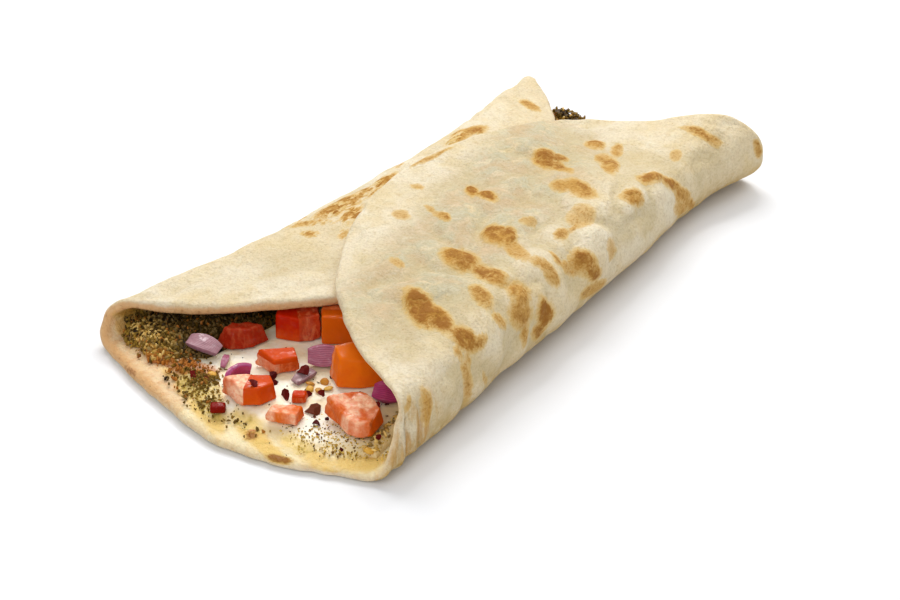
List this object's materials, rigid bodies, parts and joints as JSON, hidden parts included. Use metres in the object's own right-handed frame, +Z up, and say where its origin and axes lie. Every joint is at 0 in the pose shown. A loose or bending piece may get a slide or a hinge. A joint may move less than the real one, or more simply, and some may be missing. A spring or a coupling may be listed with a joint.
{
  "type": "zaatar manakish",
  "caption": "Folded oval flatbread spread with soft cheese and a herb and sesame mix, topped with diced tomato and red onion, one side lapped over the other and open at both ends.",
  "frame": {"origin": "centre of the bounding box on the surface the wrap rests on", "axes": "+Y along the wrap from its open front to the far end, +X to the side whose flap lies on top, +Z up"},
  "size_m": [0.1376, 0.2664, 0.0345],
  "materials": {
    "bread": "soft pale baked dough with toasted spots, matte",
    "cheese": "soft white cheese, slightly moist",
    "zaatar": "oiled dried herbs and sesame, grainy and a little wet",
    "tomato": "wet cut tomato, skin side smooth",
    "onion": "wet red onion petal, purple skin side and pale inside"
  },
  "bodies": {
    "root": {"bread": "bread", "cheese": "cheese", "zaatar_left": "zaatar", "zaatar_right": "zaatar", "tomato_1": "tomato", "tomato_2": "tomato", "tomato_3": "tomato", "tomato_4": "tomato", "tomato_5": "tomato", "tomato_6": "tomato", "tomato_7": "tomato", "tomato_8": "tomato", "tomato_9": "tomato", "tomato_10": "tomato", "tomato_11": "tomato", "tomato_12": "tomato", "tomato_13": "tomato", "onion_1": "onion", "onion_2": "onion", "onion_3": "onion", "onion_4": "onion", "onion_5": "onion", "onion_6": "onion", "onion_7": "onion", "onion_8": "onion"}
  },
  "joints": []
}
